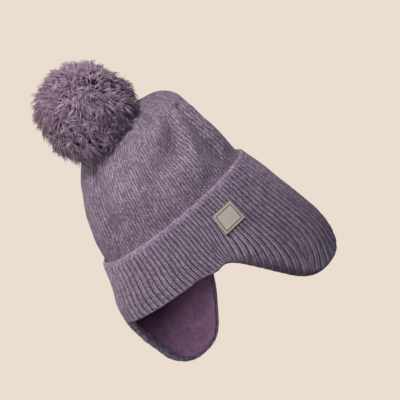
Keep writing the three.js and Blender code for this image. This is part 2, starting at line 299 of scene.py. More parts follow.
def gridPiece(name, points, uvMaps, closedSection=False, innerTop=None, outerTop=None):
    # points[row][column]: a row runs round the hat; a closed section joins last row to first.
    rows, columns = points.shape[:2]
    spans = rows if closedSection else rows - 1
    row, column = np.meshgrid(np.arange(spans), np.arange(columns), indexing="ij")
    nextRow, nextColumn = (row + 1) % rows, (column + 1) % columns
    corners = [(row, column), (row, nextColumn), (nextRow, nextColumn), (nextRow, column)]
    places = [(row, column), (row, column + 1), (row + 1, column + 1), (row + 1, column)]
    if closedSection:
        # A closed section runs the other way round, so its faces are turned to look outward.
        corners.reverse()
        places.reverse()
    faces = np.stack([r * columns + c for r, c in corners], -1).reshape(-1, 4).tolist()
    loopRows = np.stack([r for r, c in places], -1).reshape(-1)
    loopColumns = np.stack([c for r, c in places], -1).reshape(-1)
    loops = {label: values[loopRows, loopColumns] for label, values in uvMaps.items()}
    flat = points.reshape(-1, 3)
    if innerTop is not None:
        flat = np.concatenate([flat, [innerTop, outerTop]])
        ends = ((rows * columns, 0, True), (rows * columns + 1, rows - 1, False))
        for middle, ringRow, swap in ends:
            for index in range(columns):
                here, there = ringRow * columns + index, ringRow * columns + (index + 1) % columns
                faces.append([middle, there, here] if swap else [middle, here, there])
            for label, values in uvMaps.items():
                here = values[ringRow, :-1]
                there = values[ringRow, 1:]
                centre = (here + there) / 2
                trio = (centre, there, here) if swap else (centre, here, there)
                loops[label] = np.concatenate([loops[label], np.stack(trio, 1).reshape(-1, 2)])
    return meshObject(name, flat, faces, loops)


def widened(values):
    # Repeats the first column at the end, so that a map runs on across the seam.
    return np.concatenate([values, values[:, :1]], 1)


def clothMaps(points, perStitch, courseHeight, shades, closedSection=False):
    # Stitches across and courses down, measured along the cloth, and the shades beside them.
    columns = points.shape[1]
    steps = np.linalg.norm(np.diff(points, axis=0), axis=-1)
    down = widened(np.concatenate([np.zeros((1, columns)), np.cumsum(steps, 0)]) / courseHeight)
    across = np.broadcast_to(np.arange(columns + 1) / perStitch, down.shape)
    stitch = np.stack([across, down], -1)
    shade = widened(np.stack(shades, -1))
    if closedSection:
        stitch = np.concatenate([stitch, stitch[-1:]])
        shade = np.concatenate([shade, shade[:1]])
    return {"stitch": stitch, "shade": shade}


# Cuff with the ear flaps: 2x2 rib turned up over the crown, its hem rolled in round the lining.
cuff = {
    "ribs": 100,
    "crowding": 0.18,  # the ribs lie closer together across the face than at the sides
    "crowdingTurn": 0.04,
    "profile": (1.6, 0.85, 0.1, 0.0, 0.12, 0.0, 0.1, 0.85),  # depths across one rib
    "unevenRib": 0.09,
    "unevenHem": 0.06,
    "thickness": 3.4,
    "courseHeight": 1.75,
    "beadRadius": 2.2,
    "beadInset": 2.2,
    "beadHeight": 0.6,
    "beadAngles": (180, 150, 120, 90, 60, 35, 12, -12, -36),
    "beadBump": 0.22,
    "outerTop": -1.4,
    "outerRows": 84,
    "hemHeight": 3.8,
    "archTurn": 0.325,  # at the arch in front of the flap the hem is broader and has more painted shade
    "archHalf": 0.06,
    "archHem": 4.4,
    "hemInset": 1.0,
    "hemRows": (
        # lift, share of the way in, groove
        (0.45, 0.22, 0.25),
        (0.05, 0.42, 0.12),
        (0.0, 0.65, 0.1),
        (0.45, 0.86, 0.12),
    ),
    "lip": 4.4,
    "lipAtTip": 2.2,  # the turned hem is narrower round the far flap's tip and right side
    "lipRows": (0.3, 0.5, 0.7, 0.88, 1.0),
    "insideRows": (0.12, 0.3, 0.5, 0.7, 0.88),
}


def lipWidth(turn):
    past = turnsPast(turn, flapRows[1]["middle"] - 0.027)
    return cuff["lip"] - (cuff["lip"] - cuff["lipAtTip"]) * bell(past, 0.085, 4)


# Soft dents of the cuff where the crown's pleat presses on it.
cuffDents = (
    # turn, height, half width, half height, depth
    (0.372, -20, 14, 16, 1.6),
    (0.30, -40, 20, 12, 1.0),
    (0.42, -86, 26, 16, -1.4),
    (0.14, -26, 22, 22, -0.9),
    (0.70, -34, 30, 26, 1.4),
)


# How the ribs are pulled out of plumb: toward the flap in front, apart low on a flap, and square
# to the hem along a flap's front edge. Distances are mm past the flap's middle.
ribPull = {
    "face": 0.16,
    "faceTurn": 0.19,
    "faceHalf": 0.12,
    "fan": 0.004,
    "fanHalf": 45,
    "fanHeights": (-58, -100),
    "edge": 0.56,
    "edgeFrom": (-30, 12),
    "edgeTo": (50, 74),
    "edgeReach": 17.0,
    "reachFrom": (-8, 32),
    "foldHeights": (-4, 0),
}


def ribLean(turn, height):
    # How far a rib runs sideways for each millimetre down.
    pull = ribPull
    lean = pull["face"] * bell(turn % 1.0 - pull["faceTurn"], pull["faceHalf"])
    fromEdge = np.maximum(height - edgeHeight(turn), 0)
    for flap in flapRows:
        front = flap["front"]
        away = turnsPast(turn, flap["middle"]) * wallLength * front
        spread = np.clip(away, -pull["fanHalf"], pull["fanHalf"])
        lean = lean + front * pull["fan"] * spread * smoothStep(*pull["fanHeights"], height)
        frontShare = smoothStep(*pull["edgeFrom"], away) * (1 - smoothStep(*pull["edgeTo"], away))
        reach = pull["edgeReach"] * (1 + smoothStep(*pull["reachFrom"], away))
        lean = lean + front * pull["edge"] * frontShare * bell(fromEdge, reach)
    return lean * (1 - smoothStep(*pull["foldHeights"], height))


class RibPaths:
    # Where each column of the cuff runs on its way down from the fold to the hem.
    def __init__(self, starts):
        self.step = 0.5
        self.top = 4.0
        lowest = -146.0  # below both flap tips
        self.heights = np.arange(self.top, lowest, -self.step)
        turns = [starts]
        for height in self.heights[:-1]:
            turns.append(turns[-1] + ribLean(turns[-1], height) * self.step / wallLength)
        self.turns = np.stack(turns)
        gap = self.heights[:, None] - edgeHeight(self.turns)
        first = np.argmax(gap <= 0, 0)
        column = np.arange(len(starts))
        before, after = gap[first - 1, column], gap[first, column]
        self.end = self.heights[first - 1] - self.step * before / (before - after)

    def turnAt(self, height):
        place = np.clip((self.top - height) / self.step, 0, len(self.heights) - 1.001)
        row = place.astype(int)
        share = place - row
        column = np.broadcast_to(np.arange(self.turns.shape[1]), row.shape)
        return self.turns[row, column] * (1 - share) + self.turns[row + 1, column] * share


def liningInset(height):
    onFlap = 3.9
    behindCrown = 7.0
    return onFlap + (behindCrown - onFlap) * smoothStep(-63.0, -49.9, height)


def ribStarts(spec, columns):
    fine = np.linspace(0, 1, 4001)
    shift = 4 * math.pi * spec["crowdingTurn"]
    share = fine - spec["crowding"] / (4 * math.pi) * (np.sin(4 * math.pi * fine - shift) + math.sin(shift))
    return np.interp(np.arange(columns) / columns, share, fine)


def buildCuff(spec):
    perRib = len(spec["profile"])
    columns = spec["ribs"] * perRib
    chance = np.random.default_rng(11)
    paths = RibPaths(ribStarts(spec, columns))
    phase = np.arange(columns) % perRib
    acrossRib = phase * 2 * math.pi / perRib
    profile = np.array(spec["profile"])[phase]
    ribHeight = np.repeat(chance.normal(0, spec["unevenRib"], spec["ribs"]), perRib)
    ribDrop = np.repeat(chance.normal(0, spec["unevenHem"], spec["ribs"]), perRib)
    end = paths.end + ribDrop + 0.08 * np.cos(acrossRib)
    rows, grooves, paintedHemShades = [], [], []

    def addRow(height, inset, groove, hem, lump=0.0):
        height = np.broadcast_to(height, columns).astype(float)
        turn = paths.turnAt(height[None])[0]
        dent = np.zeros(columns)
        for atTurn, atHeight, halfWidth, halfHeight, amount in cuffDents:
            across = turnsPast(turn, atTurn) * wallLength
            dent += amount * bell(across, halfWidth) * bell(height - atHeight, halfHeight)
        flat = wallPoint(turn, height)
        waves = ripple(flat, 46.0, 3) * 0.35 + ripple(flat, 5.0, 5) * lump
        depth = inset + groove * profile + (ribHeight + waves) * (groove > 0)
        depth = depth + dent * smoothStep(spec["thickness"], 0.5, inset)
        rows.append(wallPoint(turn, height, depth))
        grooves.append(groove * profile / max(spec["profile"]))
        paintedHemShades.append(np.broadcast_to(hem, columns).astype(float))

    # Rolled bead over the top, from the inside to the outside.
    for angle in spec["beadAngles"]:
        a = math.radians(angle)
        bump = spec["beadBump"] * np.sin(acrossRib + a * 2.0)
        height = spec["beadHeight"] + spec["beadRadius"] * math.sin(a) + 0.2 * bump
        depth = spec["beadInset"] - spec["beadRadius"] * math.cos(a) + bump * (angle < 100)
        addRow(height, depth, 0.35 * (angle < 70), 0.0)
    # Outside, from under the bead down to the rolled hem.
    for share in np.linspace(0, 1, spec["outerRows"]):
        height = spec["outerTop"] + share * (end + 1.3 - spec["outerTop"])
        turn = paths.turnAt(height[None])[0]
        fromEdge = (height - end) / alongEdge(turn, 1.0)
        atArch = bell(turn % 1.0 - spec["archTurn"], spec["archHalf"], 4)
        hem = 1 - smoothStep(0.8, spec["hemHeight"] + spec["archHem"] * atArch, fromEdge)
        groove = (0.45 + 0.55 * smoothStep(-0.8, -2.6, height)) * (1 - 0.7 * hem)
        groove = groove * (1 - 0.3 * smoothStep(-58, -95, height))
        roll = 0.9 * (1 - smoothStep(0.0, 2.4, fromEdge)) - 0.18 * bell(fromEdge - 3.2, 1.6)
        roll = roll + 0.45 * atArch * bell(fromEdge - 6.2, 1.3)
        bulge = 0.15 * smoothStep(-6.5, -2.0, height)
        # Painted shade along the hem band, strongest at the arch in front of the flap.
        shade = hem * (0.15 + 0.85 * atArch)
        addRow(height, roll - bulge, groove, shade, lump=(0.08 + 0.3 * atArch) * hem)
    # Hem: round the bottom edge and up the inside.
    endTurn = paths.turnAt(end[None])[0]
    hemDepth = liningInset(edgeHeight(endTurn) + 4.0) + 2.35
    # Painted shade round the rolled hem, strongest near the arch.
    paintedRollShade = 0.15 + 0.65 * bell(endTurn % 1.0 - 0.35, 0.09, 4)
    for lift, share, groove in spec["hemRows"]:
        inward = spec["hemInset"] + (hemDepth - spec["hemInset"]) * share
        addRow(end + lift, inward, groove, paintedRollShade, lump=0.06)
    lipTurn = paths.turnAt((end + 2.0)[None])[0]
    lip = alongEdge(lipTurn, lipWidth(lipTurn))
    for share in spec["lipRows"]:
        inward = hemDepth - (0.5 if share > 0.95 else 0.0)
        addRow(end + np.maximum(lip * share, 1.0), inward, 0.08, 0.0, lump=0.1)
    lipTop = lip - 0.3
    # Full painted shade at the top of the lip, where it turns in under the lining.
    addRow(end + lipTop, spec["thickness"] + 0.1, 0.0, 1.0)
    for share in spec["insideRows"]:
        addRow(end + lipTop + share * (-0.6 - end - lipTop), spec["thickness"], 0.0, 0.0)

    points = np.stack(rows)
    maps = clothMaps(points, perRib, spec["courseHeight"], (paintedHemShades, grooves), closedSection=True)
    piece = gridPiece("cuff_rib", points, maps, closedSection=True)
    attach(piece, "root")
    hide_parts("cuff")
    return piece


# Crown: fine rib, gathered under the pompom, running down behind the cuff.
crown = {
    "wales": 132,
    "profile": (0.22, 0.1, 0.01, 0.0, 0.01, 0.1),
    "thickness": 2.6,
    "courseHeight": 2.1,
    "innerRings": 15,
    "domeRings": 96,
    "hiddenHeights": (-6, -20, -34),  # behind the cuff
    "hiddenInset": 3.9,
    "bottom": -49.1,
    "fullPitch": 3.6,  # grooves get shallower where the wales run closer together than this
    "gathers": 26,
    "gatherDepth": 0.9,
    "paintedFoldShade": 0.5,  # painted shade down in the folds
}


def buildCrown(spec):
    perWale = len(spec["profile"])
    columns = spec["wales"] * perWale
    turn = np.arange(columns) / columns
    angle = turn * 2 * math.pi
    profile = np.array(spec["profile"])[np.arange(columns) % perWale]
    outside = spec["hiddenInset"]
    inside = outside + spec["thickness"]
    rows, grooves, foldShadings = [], [], []

    def add(row, groove=0.0, foldShading=0.0):
        rows.append(row)
        grooves.append(groove * profile / max(spec["profile"]))
        foldShadings.append(np.broadcast_to(foldShading, columns))

    for ring in np.linspace(lastRing, 0, spec["innerRings"]):
        add(domePoint(turn, ring, spec["thickness"]))
    for height in (*spec["hiddenHeights"], spec["bottom"]):
        add(wallPoint(turn, height, inside))
    for height in (spec["bottom"], *reversed(spec["hiddenHeights"]), 0.5):
        add(wallPoint(turn, height, outside))
    for ring in np.linspace(0, lastRing, spec["domeRings"]):
        plain = domePoint(turn, ring)
        pitch = np.linalg.norm(np.roll(plain, -perWale, 0) - plain, axis=-1)
        scale = np.clip(pitch / spec["fullPitch"], 0.15, 1.25) * smoothStep(-0.2, 0.4, ring)
        wander = ripple(plain, 60.0, 21) * 0.5 + ripple(plain, 22.0, 22) * 0.22
        wander = wander * smoothStep(0.2, 1.2, ring) * (1 - smoothStep(7.5, 8.6, ring))
        pinch = smoothStep(5.5, 8.0, ring) * (1 - smoothStep(8.2, 8.8, ring))
        gathers = np.sin(angle * spec["gathers"] + 2.0 * np.sin(angle * 3))
        # Painted shade in the crown's folds, darker where a fold sinks deeper.
        foldShading = spec["paintedFoldShade"] * smoothStep(0.8, 5.2, foldDepth(turn, ring))
        inset = scale * profile + wander + spec["gatherDepth"] * pinch * gathers
        add(domePoint(turn, ring, inset), 1.0, foldShading)
    points = np.stack(rows)
    maps = clothMaps(points, perWale, spec["courseHeight"], (foldShadings, grooves))
    innerTop = gather - (0, 0, spec["thickness"])
    piece = gridPiece("crown_knit", points, maps, innerTop=innerTop, outerTop=gather)
    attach(piece, "root")
    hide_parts("crown")
    return piece


# Lining: brushed fleece with a soft nap.
lining = {
    "columns": 260,
    "thickness": 2.0,
    "insetOnDome": 3.1,
    "edgeGap": 0.2,
    "nap": 0.22,
    "lumps": 0.45,
    "innerRings": 30,
    "innerRows": 56,
    "outerRows": 16,
    "outerRings": 16,
    "shadowFade": (-58, -112),  # painted shadow up inside the hat, fading out between these heights
}


def buildLining(spec):
    columns = spec["columns"]
    turn = np.arange(columns) / columns
    lowest = edgeHeight(turn) + alongEdge(turn, lipWidth(turn) + spec["edgeGap"])
    insideDome = spec["insetOnDome"] + spec["thickness"]
    rows, inners, outOfShadow = [], [], []

    def add(row, inner, low):
        rows.append(row)
        inners.append(np.full(columns, inner))
        outOfShadow.append(np.broadcast_to(low, columns))

    def wall(height, inner, extra=0.0):
        inset = liningInset(height) + spec["thickness"] * inner
        flat = wallPoint(turn, height, inset)
        nap = (ripple(flat, 6.0, 31) * spec["nap"] + ripple(flat, 26.0, 32) * spec["lumps"]) * inner
        return wallPoint(turn, height, inset + extra - np.abs(nap))

    for ring in np.linspace(lastRing, 0, spec["innerRings"]):
        nap = np.abs(ripple(domePoint(turn, ring, insideDome), 9.0, 31)) * spec["nap"]
        add(domePoint(turn, ring, insideDome - nap), 1.0, 0.0)
    for share in np.linspace(0.02, 0.985, spec["innerRows"]):
        height = lowest * share
        puff = 0.25 * bell(height - lowest, 5.0)
        add(wall(height, True, puff), 1.0, smoothStep(*spec["shadowFade"], height))
    # Rounded lower edge.
    for lift, inner, extra in ((0.1, True, -0.5), (-0.2, True, -1.0), (0.1, False, 0.3)):
        add(wall(lowest + lift, inner, extra), float(inner), 1.0)
    for share in np.linspace(0.94, 0.02, spec["outerRows"]):
        add(wall(lowest * share, False), 0.0, 1.0)
    for ring in np.linspace(0, lastRing, spec["outerRings"]):
        add(domePoint(turn, ring, spec["insetOnDome"]), 0.0, 0.0)
    points = np.stack(rows)
    maps = {"shade": widened(np.stack([inners, outOfShadow], -1))}
    outerTop = gather - (0, 0, spec["insetOnDome"])
    innerTop = gather - (0, 0, insideDome)
    piece = gridPiece("lining_fleece", points, maps, innerTop=innerTop, outerTop=outerTop)
    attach(piece, "root")
    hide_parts("lining")
    return piece


# Pompom: a tied ball of cut yarn, its strands falling in tufts.
pompom = {
    "centre": (-7.0, -6.0, 119.0),
    "radius": 44.0,
    "tufts": 120,
    "strandsEach": 9300,
    "strandsPerLock": 3,
    "tuftHalf": 0.22,  # radians from a tuft's middle to its edge
    "tuftLean": (0.08, 0.42),
    "tuftUneven": 0.022,
    "lockNoise": 0.17,
    "lockUneven": 0.04,
    "curl": (0.4, 3.4),  # mm that a lock bows out
    "rootGather": 0.15,  # share by which roots and tips turn toward their tuft's middle
    "tipGather": 0.3,
    "strandNoise": 0.024,
    "strandUneven": 0.016,
    "stations": (0.0, 0.4, 0.74, 1.0),  # along a strand, from root to tip
    "droop": (-0.12, -0.05, -0.22),  # the strands fall to the lower side as the hat hangs
    "strandPieces": 2,
    "strandRadius": 0.64,
    "rootShare": 0.5,
    "coreShare": 0.74,
    "softness": 0.1,  # how far the shading follows the whole ball and not each strand
}


def crownTopTable():
    # Height of the crown's top over a grid of x and y, with its grid origin and cell size.
    cell = 2.0
    low = np.array([-84.0, -64.0])
    size = np.array([84, 64])
    turn, ring = np.meshgrid(np.linspace(0, 1, 900), np.linspace(2.5, lastRing, 260))
    points = domePoint(turn, ring).reshape(-1, 3)
    table = np.full(size, -1e3)
    place = np.clip(((points[:, :2] - low) / cell).astype(int), 0, size - 1)
    np.maximum.at(table, (place[:, 0], place[:, 1]), points[:, 2])
    spread = table.copy()
    for shiftX in (-1, 0, 1):
        for shiftY in (-1, 0, 1):
            spread = np.maximum(spread, np.roll(table, (shiftX, shiftY), (0, 1)) - 0.4)
    return spread, low, cell


crownTop, crownTopLow, crownTopCell = crownTopTable()


def aboveCrown(points, clearance):
    place = ((points[..., :2] - crownTopLow) / crownTopCell).astype(int)
    place = np.clip(place, 0, np.array(crownTop.shape) - 1)
    floor = crownTop[place[..., 0], place[..., 1]] + clearance
    lifted = points.copy()
    lifted[..., 2] = np.maximum(points[..., 2], floor)
    return lifted


def unit(vectors):
    return vectors / np.linalg.norm(vectors, axis=-1, keepdims=True)


def evenDirections(count, chance, jitter):
    index = np.arange(count) + 0.5
    level = 1 - 2 * index / count
    around = index * math.pi * (3 - math.sqrt(5))
    flat = np.sqrt(1 - level ** 2)
    points = np.stack([flat * np.cos(around), flat * np.sin(around), level], -1)
    return unit(points + chance.normal(0, jitter, points.shape))


# Where the ball stands out or is pressed in: the angle in the photograph's plane, and how far
# the place is turned out of that plane toward the camera.
pompomLobes = (
    # angle, toward the camera, how far it stands out, width
    (18, 0.0, -0.10, 0.30),
    (176, 0.0, -0.15, 0.32),
    (338, 0.1, 0.10, 0.30),
    (316, 0.3, 0.17, 0.30),
    (208, 0.0, -0.05, 0.24),
    (236, 0.12, 0.15, 0.24),
    (118, 0.0, 0.01, 0.40),
    (252, 0.36, 0.22, 0.40),
)


def lobeReach(ways):
    reach = 1.0
    rise = math.radians(camera["elevation"])
    toCamera = np.array([0.0, -math.cos(rise), math.sin(rise)])
    for angle, toward, amount, width in pompomLobes:
        a = math.radians(angle)
        inPlane = np.array([math.cos(a), math.sin(a) * math.sin(rise), math.sin(a) * math.cos(rise)])
        middle = unit(inPlane + toCamera * toward / (1 - toward))
        apart = np.arccos(np.clip(ways @ middle, -1, 1))
        reach = reach + amount * bell(apart, width)
    return reach


def strandPaths(spec, chance, tufts, leans, reach):
    # Each cut yarn opens into a lock of a few strands that keep together.
    perLock = spec["strandsPerLock"]
    locks = spec["strandsEach"] // perLock
    heading = unit(chance.normal(size=(locks, 3)))
    closeness = heading @ tufts.T
    nearest = np.argmax(closeness, 1)
    away = np.arccos(np.clip(closeness[np.arange(locks), nearest], -1, 1)) / spec["tuftHalf"]
    axis = tufts[nearest]
    rootWay = unit(heading + (axis - heading) * spec["rootGather"] - np.array(spec["droop"]))
    noise = chance.normal(0, spec["lockNoise"], (locks, 3))
    lean = leans[nearest] * chance.uniform(0.4, 1.4, (locks, 1))
    tipWay = unit(heading + (axis - heading) * spec["tipGather"] + lean + noise)
    uneven = chance.normal(1.0, spec["lockUneven"], locks).clip(0.9, 1.06)
    tip = reach[nearest] * (1.03 - 0.10 * away ** 2) * uneven
    curl = unit(np.cross(tipWay, chance.normal(size=(locks, 3))))
    curlSize = chance.uniform(*spec["curl"], locks)
    curlPhase = chance.uniform(0, 6.28, locks)
    lockTint = chance.uniform(0, 1, locks)

    def spread(values):
        return np.repeat(values, perLock, 0)

    rootWay, tipWay, curl = spread(rootWay), spread(tipWay), spread(curl)
    strands = locks * perLock
    tipWay = unit(tipWay + chance.normal(0, spec["strandNoise"], (strands, 3)))
    rootWay = unit(rootWay + chance.normal(0, spec["strandNoise"] / 2, (strands, 3)))
    tip = spread(tip) * chance.normal(1.0, spec["strandUneven"], strands) * lobeReach(tipWay)
    curlSize = spread(curlSize) * chance.uniform(0.7, 1.3, strands)
    curlPhase = spread(curlPhase) + chance.normal(0, 0.3, strands)
    root = spec["rootShare"]
    points = []
    for step in spec["stations"]:
        bend = step ** 1.5
        way = unit(rootWay * (1 - bend) + tipWay * bend)
        out = (root + (tip - root) * (1 - (1 - step) ** 1.08)) * spec["radius"]
        wave = np.sin(step * 3.4 + curlPhase) * curlSize * step
        points.append(np.array(spec["centre"]) + way * out[:, None] + curl * wave[:, None])
    tint = np.clip(spread(lockTint) * 0.7 + chance.uniform(0, 0.3, strands), 0, 1)
    return aboveCrown(np.stack(points, 1), 0.9), tint


def strandMesh(name, paths, tint, chance, spec):
    # Three-sided strands that end in a point.
    count, steps = paths.shape[:2]
    along = unit(np.gradient(paths, axis=1) + 1e-9)
    side = unit(np.cross(along, unit(chance.normal(size=(count, 1, 3)))))
    across = np.cross(along, side)
    taper = np.array([0.8, 1.0, 0.85])
    thick = chance.normal(1.0, 0.16, (count, 1)).clip(0.6, 1.5) * spec["strandRadius"] * taper
    corners, outward = [], []
    for corner in range(3):
        a = corner * 2 * math.pi / 3
        way = (side * math.cos(a) + across * math.sin(a))[:, :-1]
        corners.append(paths[:, :-1] + way * thick[..., None])
        outward.append(way)
    perStrand = (steps - 1) * 3 + 1
    rings = np.stack(corners, 2).reshape(count, -1, 3)
    points = np.concatenate([rings, paths[:, -1:]], 1).reshape(-1, 3)
    ringNormals = np.stack(outward, 2).reshape(count, -1, 3)
    strandNormals = np.concatenate([ringNormals, along[:, -1:]], 1).reshape(-1, 3)
    ballNormals = unit(points - np.array(spec["centre"]))
    normals = unit(strandNormals * (1 - spec["softness"]) + ballNormals * spec["softness"])
    quads, quadSteps = [], []
    for step in range(steps - 2):
        for corner in range(3):
            a, b = step * 3 + corner, step * 3 + (corner + 1) % 3
            quads.append([a, b, b + 3, a + 3])
            quadSteps.append([step, step, step + 1, step + 1])
    tip = perStrand - 1
    trios = [[2, 1, 0]] + [[tip - 3 + corner, tip - 3 + (corner + 1) % 3, tip] for corner in range(3)]
    trioSteps = [[0, 0, 0]] + [[steps - 2, steps - 2, steps - 1]] * 3
    base = (np.arange(count) * perStrand)[:, None, None]
    faceQuads = (base + np.array(quads)[None]).reshape(-1, 4)
    faceTrios = (base + np.array(trios)[None]).reshape(-1, 3)
    tints = np.concatenate([np.repeat(tint, len(quads) * 4), np.repeat(tint, len(trios) * 3)])
    quadAlong = np.tile(np.ravel(quadSteps), count)
    trioAlong = np.tile(np.ravel(trioSteps), count)
    uv = np.stack([tints, np.concatenate([quadAlong, trioAlong]) / (steps - 1)], -1)
    return meshObject(name, points, faceQuads.tolist() + faceTrios.tolist(), {"yarn": uv}, normals)


def namedStart(name):
    # Names the primitive just added and reads its points.
    piece = bpy.context.active_object
    piece.name = name
    piece.data.name = name
    points = np.empty(len(piece.data.vertices) * 3)
    piece.data.vertices.foreach_get("co", points)
    return piece, points.reshape(-1, 3)


def buildPompom(spec):
    chance = np.random.default_rng(5)
    tufts = evenDirections(spec["tufts"], chance, 0.10)
    leans = np.cross(tufts, unit(chance.normal(size=tufts.shape)))
    leans = leans * chance.uniform(*spec["tuftLean"], (spec["tufts"], 1))
    reach = chance.normal(1.0, spec["tuftUneven"], spec["tufts"])
    pieces = []
    for index in range(spec["strandPieces"]):
        paths, tint = strandPaths(spec, chance, tufts, leans, reach)
        pieces.append(strandMesh(f"pompom_yarn_{index + 1}", paths, tint, chance, spec))
    bpy.ops.object.select_all(action="DESELECT")
    bpy.ops.mesh.primitive_ico_sphere_add(subdivisions=5, radius=1.0)
    core, ways = namedStart("pompom_core")
    lumps = spec["coreShare"] + 0.02 * ripple(ways, 0.7, 8)
    points = np.array(spec["centre"]) + ways * (spec["radius"] * lumps * lobeReach(ways))[:, None]
    core.data.vertices.foreach_set("co", toFrame(aboveCrown(points, 0.5)).ravel())
    core.data.polygons.foreach_set("use_smooth", [True] * len(core.data.polygons))
    core.data.update()
    pieces.append(core)
    for piece in pieces:
        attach(piece, "root")
        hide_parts("pompom")
    return pieces


# Label: a woven patch sewn on the cuff.
label = {
    "turn": 0.325,
    "height": -25.8,
    "width": 23.5,
    "length": 20.0,
    "thickness": 0.9,
    "lift": 0.3,
    "cells": (24, 20),
    "roundedEdge": 0.28,
}


def buildLabel(spec):
    across, down = spec["cells"]
    bpy.ops.object.select_all(action="DESELECT")
    bpy.ops.mesh.primitive_grid_add(x_subdivisions=across, y_subdivisions=down, size=2.0)
    piece, places = namedStart("woven_label")
    mesh = piece.data
    right, up = places[:, 0] * spec["width"] / 2, places[:, 1] * spec["length"] / 2
    corner = np.empty(len(mesh.loops), int)
    mesh.loops.foreach_get("vertex_index", corner)
    while mesh.uv_layers:
        mesh.uv_layers.remove(mesh.uv_layers[0])
    layer = mesh.uv_layers.new(name="place")
    layer.data.foreach_set("uv", np.stack([right[corner], up[corner]], -1).ravel())
    turn = spec["turn"] + right / wallLength
    corners = np.abs(places[:, 0]) ** 6 * np.abs(places[:, 1]) ** 6
    sag = 0.25 * corners - 0.15 * (1 - places[:, 0] ** 2) * (1 - places[:, 1] ** 2)
    points = wallPoint(turn, spec["height"] + up, -spec["lift"] - sag)
    mesh.vertices.foreach_set("co", toFrame(points).ravel())
    mesh.update()
    solid = piece.modifiers.new("thickness", "SOLIDIFY")
    solid.thickness = spec["thickness"] / 1000
    solid.offset = 1.0
    bevel = piece.modifiers.new("edges", "BEVEL")
    bevel.width = spec["roundedEdge"] / 1000
    bevel.segments = 3
    bevel.limit_method = "ANGLE"
    for modifier in ("thickness", "edges"):
        bpy.ops.object.modifier_apply(modifier=modifier)
    bpy.ops.object.shade_smooth_by_angle(angle=math.radians(40))
    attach(piece, "root")
    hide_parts("label")
    return piece


cuffPiece = buildCuff(cuff)
print("cuff", len(cuffPiece.data.polygons))
crownPiece = buildCrown(crown)
print("crown", len(crownPiece.data.polygons))
liningPiece = buildLining(lining)
print("lining", len(liningPiece.data.polygons))
pompomPieces = buildPompom(pompom)
print("pompom", [len(piece.data.polygons) for piece in pompomPieces])
labelPiece = buildLabel(label)
print("label", len(labelPiece.data.polygons))


# Materials

def linear(code):
    # An sRGB hex colour as the linear values that a shader takes.
    parts = [int(code[start:start + 2], 16) / 255 for start in (1, 3, 5)]
    line = [part / 12.92 if part <= 0.04045 else ((part + 0.055) / 1.055) ** 2.4 for part in parts]
    return line + [1.0]


# Settings that many nodes share.
soft = {"interpolation_type": "SMOOTHSTEP"}
blend = {"out": 2, "data_type": "RGBA"}


def addNode(tree, kind, inputs=(), out=0, **settings):
    # Adds one node; inputs are numbers, colours or the outputs of other nodes.
    node = tree.nodes.new("ShaderNode" + kind)
    for setting, value in settings.items():
        setattr(node, setting, value)
    pairs = inputs.items() if isinstance(inputs, dict) else enumerate(inputs)
    for socket, value in pairs:
        if isinstance(value, bpy.types.NodeSocket):
            tree.links.new(value, node.inputs[socket])
        else:
            node.inputs[socket].default_value = value
    if out is None or not len(node.outputs):
        return node.outputs
    return node.outputs[out]


def newMaterial(name):
    material = bpy.data.materials.new(name)
    material.use_nodes = True
    material.node_tree.nodes.clear()
    return material, partial(addNode, material.node_tree)


def threeTones(node, spec, tone, most=1.0):
    # The ground colour, going over to the light one where the tone is high, to the dark one low.
    lighter = node("MapRange", [tone, *spec["lightTones"], 0.0, most], **soft)
    darker = node("MapRange", [tone, *spec["darkTones"], most, 0.0], **soft)
    colour = node("Mix", {0: lighter, 6: linear(spec["ground"]), 7: linear(spec["light"])}, **blend)
    return node("Mix", {0: darker, 6: colour, 7: linear(spec["dark"])}, **blend)


def finishMaterial(node, colour, height, spec):
    bump = node("Bump", {"Height": height, "Distance": spec["bumpDepth"] / 1000, "Strength": 1.0})
    shader = node("BsdfPrincipled", {
        "Base Color": colour,
        "Roughness": spec["roughness"],
        "IOR": spec["ior"],
        "Specular IOR Level": spec["specular"],
        "Sheen Weight": spec["sheen"],
        "Sheen Roughness": 0.45,
        "Sheen Tint": linear(spec["sheenTint"]),
        "Normal": bump,
    })
    node("OutputMaterial", [shader])


# Both knits are one heathered wool and acrylic yarn: matt, slightly hairy, light fibres through
# a mauve ground, so each stitch reads a little lighter or darker than its neighbours.
heather = {
    "lightTones": (0.62, 0.95),
    "darkTones": (0.25, 0.56),
    "fleckNoise": {"Scale": 760.0, "Detail": 3.0, "Roughness": 0.65},  # flecks about 1.3 mm across
    "cloudNoise": {"Scale": 40.0, "Detail": 2.0, "Roughness": 0.5},  # patches of about 25 mm
    "ior": 1.5,
    "specular": 0.25,
    "sheenTint": "#cbb9c8",
    "bumpDepth": 0.5,
    "slant": 2.2,  # how steeply a stitch's course line falls toward its column's middle
    "columnEdges": (0.06, 0.2),
    "holeAlong": (0.14, 0.34),  # from the gap between two courses, 0, to a course's middle, 0.5
    "plainTone": -0.12,
    # the strand weight is a painted highlight along each yarn's middle
    "toneWeights": {"fleck": 0.6, "cloud": 0.3, "strand": 0.45},
    # where the painted shade of a valley begins and ends, on the groove map
    "valleyEdges": (0.1, 0.8),
    # how strong the painted shade is along the cuff's hem and down the crown's folds
    "paintedShade": 0.75,
    "relief": {"fleck": 0.5, "stitch": 0.55, "hole": -0.6},
}
crownFinish = {
    **heather,
    "name": "crown_heather",
    "ground": "#8c7a8d",
    "light": "#c8b9c9",
    "dark": "#3e303f",
    "uneven": 0.36,
    "columns": 1.0,  # stitch columns on each wale
    "strandEdges": (0.04, 0.36),  # from the gap between two courses, 0, to the yarn's middle, 0.5
    "columnAt": 0.5,  # a stitch column lies between the valley, 0, and the wale's middle, 0.5
    "holeAt": 0.0,
    "holeHalf": 0.12,
    "holes": 0.95,
    "fleck": 0.8,
    # painted shade in the wale valleys
    "valley": 0.14,
    "roughness": 0.92,
    "sheen": 0.25,
}
